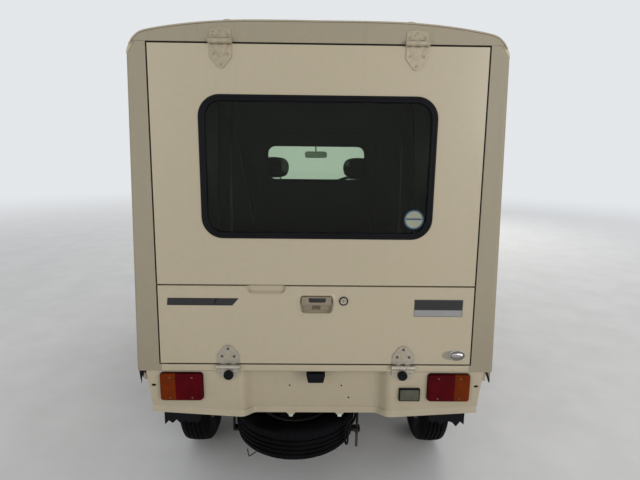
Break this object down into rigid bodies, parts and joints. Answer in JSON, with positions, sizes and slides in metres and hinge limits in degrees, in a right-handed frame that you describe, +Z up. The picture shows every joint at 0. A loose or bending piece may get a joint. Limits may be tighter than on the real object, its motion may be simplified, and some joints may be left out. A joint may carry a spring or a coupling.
{
  "type": "cab-over kei truck with a panel-van body",
  "caption": "Small cab-over truck with a boxed cargo body, a glazed top-hinged rear hatch over a drop tailgate, hinged cab doors, working steering and rolling wheels.",
  "frame": {"origin": "on the ground under the middle of the vehicle's bounding box", "axes": "+Y is forward along the vehicle, +X is its right side, +Z is up"},
  "size_m": [1.66, 3.295, 1.953],
  "materials": {
    "body_paint": "cream gloss paint, weathered",
    "chassis_black": "black underbody paint with rust",
    "wheel_steel": "silver painted steel",
    "zinc_steel": "zinc plated, stained",
    "engine_metal": "bare casting",
    "exhaust_steel": "heat stained steel",
    "clear_glass": "clear safety glass",
    "tinted_glass": "dark tinted safety glass",
    "lamp_glass": "fluted lamp glass",
    "red_lens": "red and amber lens",
    "amber_lens": "amber lens",
    "black_plastic": "grained black plastic",
    "bumper_plastic": "moulded bumper skin",
    "interior_plastic": "grained interior plastic",
    "black_rubber": "weathered rubber",
    "tyre_rubber": "worn tyre rubber",
    "seat_cloth": "dark woven cloth"
  },
  "bodies": {
    "root": {"chassis_frame": "chassis_black", "cross_members": "chassis_black", "floor_bearers": "chassis_black", "leaf_springs": "chassis_black", "cab_shell": "body_paint", "cab_glass": "clear_glass", "front_bumper": "bumper_plastic", "front_grille": "black_plastic", "headlamps": "lamp_glass", "front_indicators": "amber_lens", "wipers": "black_plastic", "dashboard": "interior_plastic", "seats": "seat_cloth", "box_side_walls": "body_paint", "box_roof": "body_paint", "box_front_wall": "body_paint", "box_rear_frame": "body_paint", "cargo_floor": "body_paint", "rear_valance": "body_paint", "tail_lamp_housings": "black_plastic", "tail_lamp_lenses": "red_lens", "rear_small_lamps": "black_plastic", "mudflaps": "black_rubber", "spare_tyre": "tyre_rubber", "spare_rim": "wheel_steel", "spare_carrier": "chassis_black", "engine": "engine_metal", "fuel_tank": "chassis_black", "exhaust": "exhaust_steel", "rear_axle": "chassis_black", "front_suspension": "chassis_black", "fixed_hinge_leaves": "zinc_steel"},
    "hatch": {"hatch_panel": "body_paint", "hatch_glass": "tinted_glass", "hatch_seal": "black_rubber", "hatch_hinge_leaves": "zinc_steel"},
    "tailgate": {"tailgate_panel": "body_paint", "tailgate_handle": "zinc_steel", "tailgate_hinge_leaves": "zinc_steel"},
    "left_cab_door": {"left_door": "body_paint", "left_door_glass": "clear_glass", "left_mirror": "black_plastic"},
    "right_cab_door": {"right_door": "body_paint", "right_door_glass": "clear_glass", "right_mirror": "black_plastic"},
    "steering": {"steering_wheel": "interior_plastic"},
    "left_hub_carrier": {"left_knuckle": "engine_metal"},
    "right_hub_carrier": {"right_knuckle": "engine_metal"},
    "front_left_wheel": {"front_left_tyre": "tyre_rubber", "front_left_rim": "wheel_steel"},
    "front_right_wheel": {"front_right_tyre": "tyre_rubber", "front_right_rim": "wheel_steel"},
    "rear_left_wheel": {"rear_left_tyre": "tyre_rubber", "rear_left_rim": "wheel_steel"},
    "rear_right_wheel": {"rear_right_tyre": "tyre_rubber", "rear_right_rim": "wheel_steel"}
  },
  "joints": [
    {"name": "hatch_hinge", "type": "hinge", "parent": "root", "child": "hatch", "pos_m": [0, -1.6385, 1.88], "axis": [-1, 0, 0], "range_deg": [0, 85]},
    {"name": "tailgate_hinge", "type": "hinge", "parent": "root", "child": "tailgate", "pos_m": [0, -1.6385, 0.69], "axis": [1, 0, 0], "range_deg": [0, 170]},
    {"name": "left_door_hinge", "type": "hinge", "parent": "root", "child": "left_cab_door", "pos_m": [-0.702, 1.3645, 0.9], "axis": [0, 0, -1], "range_deg": [0, 65]},
    {"name": "right_door_hinge", "type": "hinge", "parent": "root", "child": "right_cab_door", "pos_m": [0.702, 1.3645, 0.9], "axis": [0, 0, 1], "range_deg": [0, 65]},
    {"name": "steering_column", "type": "hinge", "parent": "root", "child": "steering", "pos_m": [0.33, 1.0515, 1.13], "axis": [0, -0.6157, 0.788], "range_deg": [-540, 540]},
    {"name": "left_steer", "type": "hinge", "parent": "root", "child": "left_hub_carrier", "pos_m": [-0.49, 0.8925, 0.271], "axis": [0, 0, 1], "range_deg": [-35.5, 35.5]},
    {"name": "front_left_roll", "type": "hinge", "parent": "left_hub_carrier", "child": "front_left_wheel", "pos_m": [-0.6, 0.8925, 0.271], "axis": [-1, 0, 0], "continuous": true},
    {"name": "rear_left_roll", "type": "hinge", "parent": "root", "child": "rear_left_wheel", "pos_m": [-0.59, -1.0075, 0.271], "axis": [-1, 0, 0], "continuous": true},
    {"name": "right_steer", "type": "hinge", "parent": "root", "child": "right_hub_carrier", "pos_m": [0.49, 0.8925, 0.271], "axis": [0, 0, 1], "range_deg": [-35.5, 35.5]},
    {"name": "front_right_roll", "type": "hinge", "parent": "right_hub_carrier", "child": "front_right_wheel", "pos_m": [0.6, 0.8925, 0.271], "axis": [-1, 0, 0], "continuous": true},
    {"name": "rear_right_roll", "type": "hinge", "parent": "root", "child": "rear_right_wheel", "pos_m": [0.59, -1.0075, 0.271], "axis": [-1, 0, 0], "continuous": true}
  ],
  "couplings": [
    {"joint": "left_steer", "follows": "steering_column", "ratio": 0.064815},
    {"joint": "right_steer", "follows": "steering_column", "ratio": 0.064815}
  ]
}
